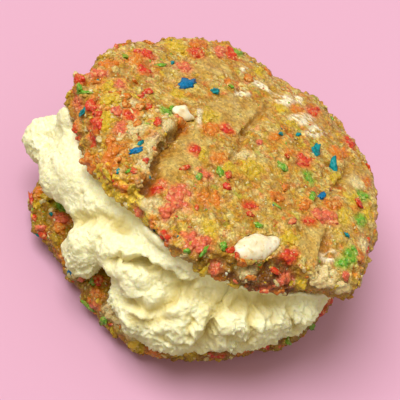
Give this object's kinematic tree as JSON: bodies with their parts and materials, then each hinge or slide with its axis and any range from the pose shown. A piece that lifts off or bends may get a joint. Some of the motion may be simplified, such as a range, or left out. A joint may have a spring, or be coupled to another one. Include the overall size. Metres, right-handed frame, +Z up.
{
  "type": "sandwich cookie",
  "caption": "Soft baked sandwich cookie speckled with crushed fruit cereal, with a thick wedge of whipped cream that bulges out at the front and lifts the upper cookie.",
  "frame": {"origin": "middle of the whole cookie's footprint, at the level of the surface it rests on", "axes": "+Z up from the table; -Y towards the front, where the cream bulges out and the upper cookie is lifted; +X to the cookie's right"},
  "size_m": [0.0926, 0.0924, 0.0469],
  "materials": {
    "upper_cookie": "baked golden cookie dough, grainy with small smooth patches",
    "lower_cookie": "baked cookie dough, a little darker and crumbly at the rim",
    "cream": "soft whipped cream, satin, porous",
    "white_chocolate": "smooth melted white chocolate, satin",
    "fruit_cereal": "crushed puffed fruit cereal in red, orange, yellow, green, teal and blue"
  },
  "bodies": {
    "root": {"cookie_lower": "lower_cookie", "cookie_upper": "upper_cookie", "cream_filling": "cream", "white_chunk_front": "white_chocolate", "white_chunk_left": "white_chocolate"}
  },
  "joints": []
}
